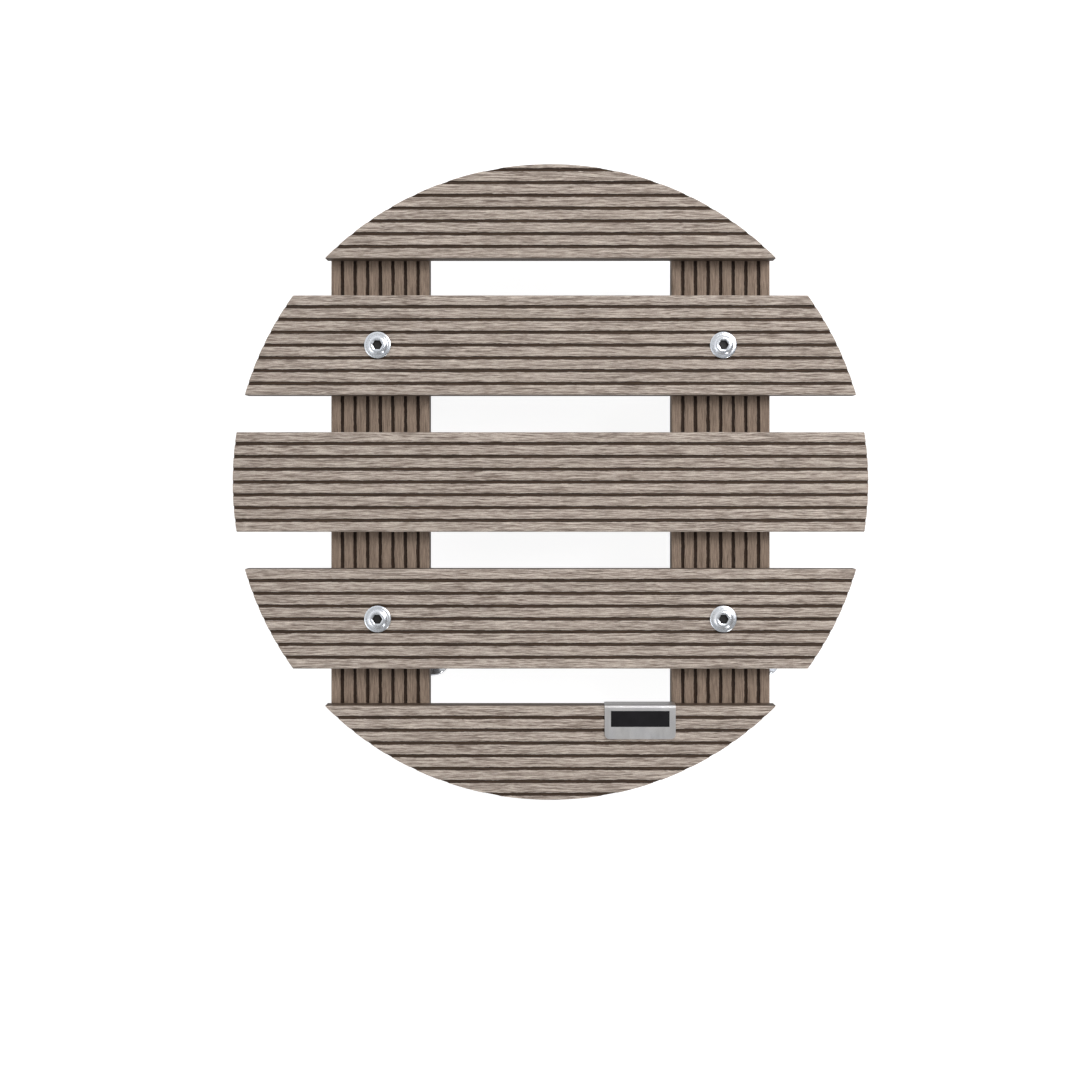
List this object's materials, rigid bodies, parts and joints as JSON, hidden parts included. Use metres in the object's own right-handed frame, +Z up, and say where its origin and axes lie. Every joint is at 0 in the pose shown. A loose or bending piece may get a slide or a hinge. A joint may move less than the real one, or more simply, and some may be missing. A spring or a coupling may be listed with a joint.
{
  "type": "plant pot caddy",
  "caption": "Round slatted plant pot caddy of grooved composite boards on swivel casters, with foot brakes at the front.",
  "frame": {"origin": "on the floor under the middle of the round deck, at the bottom of the wheels", "axes": "+Z up, +X along the slats, +Y along the rails, away from the front slat that carries the badge plate; all wheels trail towards -Y"},
  "size_m": [0.39, 0.39, 0.0986],
  "materials": {
    "slat_composite": "wood-plastic composite, brushed, weathered grey-brown",
    "rail_composite": "wood-plastic composite, brushed, dark brown",
    "zinc_steel": "pressed sheet steel, bright zinc plated",
    "cup_steel": "pressed sheet steel, dull zinc plated",
    "bolt_steel": "zinc plated, slightly polished",
    "ball_steel": "ground steel balls, greased",
    "nylon": "natural nylon",
    "wheel_plastic": "moulded polypropylene, slate blue-grey, semi-gloss",
    "tyre_rubber": "thermoplastic rubber, slate grey, satin",
    "badge_metal": "brushed aluminium sheet with a blank dark field"
  },
  "bodies": {
    "deck": {"front_slat": "slat_composite", "front_middle_slat": "slat_composite", "centre_slat": "slat_composite", "rear_middle_slat": "slat_composite", "rear_slat": "slat_composite", "left_rail": "rail_composite", "right_rail": "rail_composite", "deck_screws": "bolt_steel", "caster_bolts": "bolt_steel", "caster_nuts": "bolt_steel", "badge_plate": "badge_metal", "front_left_swivel_cup": "cup_steel", "front_left_kingpin": "bolt_steel", "front_left_bearing_balls": "ball_steel", "front_left_thrust_washer": "nylon", "front_right_swivel_cup": "cup_steel", "front_right_kingpin": "bolt_steel", "front_right_bearing_balls": "ball_steel", "front_right_thrust_washer": "nylon", "rear_left_swivel_cup": "cup_steel", "rear_left_kingpin": "bolt_steel", "rear_left_bearing_balls": "ball_steel", "rear_left_thrust_washer": "nylon", "rear_right_swivel_cup": "cup_steel", "rear_right_kingpin": "bolt_steel", "rear_right_bearing_balls": "ball_steel", "rear_right_thrust_washer": "nylon"},
    "front_left_swivel": {"front_left_fork": "zinc_steel", "front_left_axle": "bolt_steel", "front_left_brake_cam": "zinc_steel"},
    "front_left_wheel": {"front_left_wheel_core": "wheel_plastic", "front_left_tyre": "tyre_rubber"},
    "front_left_brake": {"front_left_brake_lever": "zinc_steel"},
    "front_right_swivel": {"front_right_fork": "zinc_steel", "front_right_axle": "bolt_steel", "front_right_brake_cam": "zinc_steel"},
    "front_right_wheel": {"front_right_wheel_core": "wheel_plastic", "front_right_tyre": "tyre_rubber"},
    "front_right_brake": {"front_right_brake_lever": "zinc_steel"},
    "rear_left_swivel": {"rear_left_fork": "zinc_steel", "rear_left_axle": "bolt_steel"},
    "rear_left_wheel": {"rear_left_wheel_core": "wheel_plastic", "rear_left_tyre": "tyre_rubber"},
    "rear_right_swivel": {"rear_right_fork": "zinc_steel", "rear_right_axle": "bolt_steel"},
    "rear_right_wheel": {"rear_right_wheel_core": "wheel_plastic", "rear_right_tyre": "tyre_rubber"}
  },
  "joints": [
    {"name": "front_left_swivel_turn", "type": "hinge", "parent": "deck", "child": "front_left_swivel", "pos_m": [-0.106, -0.084, 0.0595], "axis": [0, 0, 1], "continuous": true},
    {"name": "front_left_wheel_spin", "type": "hinge", "parent": "front_left_swivel", "child": "front_left_wheel", "pos_m": [-0.106, -0.108, 0.025], "axis": [1, 0, 0], "continuous": true},
    {"name": "front_left_brake_press", "type": "hinge", "parent": "front_left_swivel", "child": "front_left_brake", "pos_m": [-0.0867, -0.108, 0.025], "axis": [1, 0, 0], "range_deg": [0, 28]},
    {"name": "front_right_swivel_turn", "type": "hinge", "parent": "deck", "child": "front_right_swivel", "pos_m": [0.106, -0.084, 0.0595], "axis": [0, 0, 1], "continuous": true},
    {"name": "front_right_wheel_spin", "type": "hinge", "parent": "front_right_swivel", "child": "front_right_wheel", "pos_m": [0.106, -0.108, 0.025], "axis": [1, 0, 0], "continuous": true},
    {"name": "front_right_brake_press", "type": "hinge", "parent": "front_right_swivel", "child": "front_right_brake", "pos_m": [0.1253, -0.108, 0.025], "axis": [1, 0, 0], "range_deg": [0, 28]},
    {"name": "rear_left_swivel_turn", "type": "hinge", "parent": "deck", "child": "rear_left_swivel", "pos_m": [-0.106, 0.084, 0.0595], "axis": [0, 0, 1], "continuous": true},
    {"name": "rear_left_wheel_spin", "type": "hinge", "parent": "rear_left_swivel", "child": "rear_left_wheel", "pos_m": [-0.106, 0.06, 0.025], "axis": [1, 0, 0], "continuous": true},
    {"name": "rear_right_swivel_turn", "type": "hinge", "parent": "deck", "child": "rear_right_swivel", "pos_m": [0.106, 0.084, 0.0595], "axis": [0, 0, 1], "continuous": true},
    {"name": "rear_right_wheel_spin", "type": "hinge", "parent": "rear_right_swivel", "child": "rear_right_wheel", "pos_m": [0.106, 0.06, 0.025], "axis": [1, 0, 0], "continuous": true}
  ]
}
